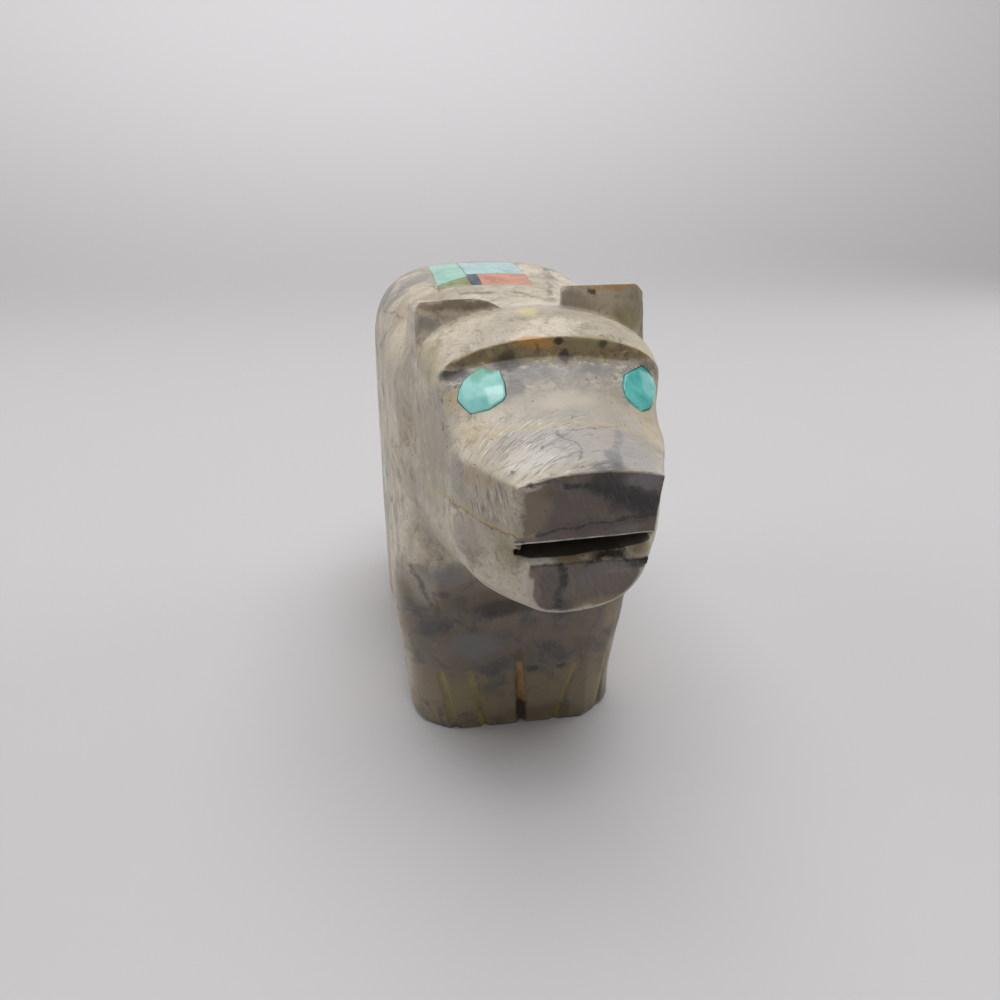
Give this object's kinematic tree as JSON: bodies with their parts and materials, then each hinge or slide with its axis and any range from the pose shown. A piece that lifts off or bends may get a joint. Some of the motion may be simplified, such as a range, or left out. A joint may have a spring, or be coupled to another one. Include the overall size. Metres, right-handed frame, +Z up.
{
  "type": "carved stone bear",
  "caption": "Small carved stone bear standing on square-cut legs, with a brow step, low ears, a sawn mouth, and turquoise and coral set in the eyes, back and flank.",
  "frame": {"origin": "on the ground, under the middle of the outline box", "axes": "+Z up; the bear looks along -Y, so that its right side is -X and its left side is +X"},
  "size_m": [0.0194, 0.0509, 0.0353],
  "materials": {
    "stone": "polished, cream and grey with dark and rusty veins",
    "turquoise_pale": "polished",
    "turquoise": "polished",
    "turquoise_deep": "polished",
    "green_stone": "polished",
    "dark_blue_stone": "polished",
    "coral": "polished"
  },
  "bodies": {
    "root": {"stone_bear": "stone", "eye_right": "turquoise", "eye_left": "turquoise_deep", "back_turquoise": "turquoise", "back_pale_turquoise": "turquoise_pale", "back_green": "green_stone", "back_blue": "dark_blue_stone", "back_coral": "coral", "flank_upper": "turquoise_pale", "flank_lower": "turquoise"}
  },
  "joints": []
}
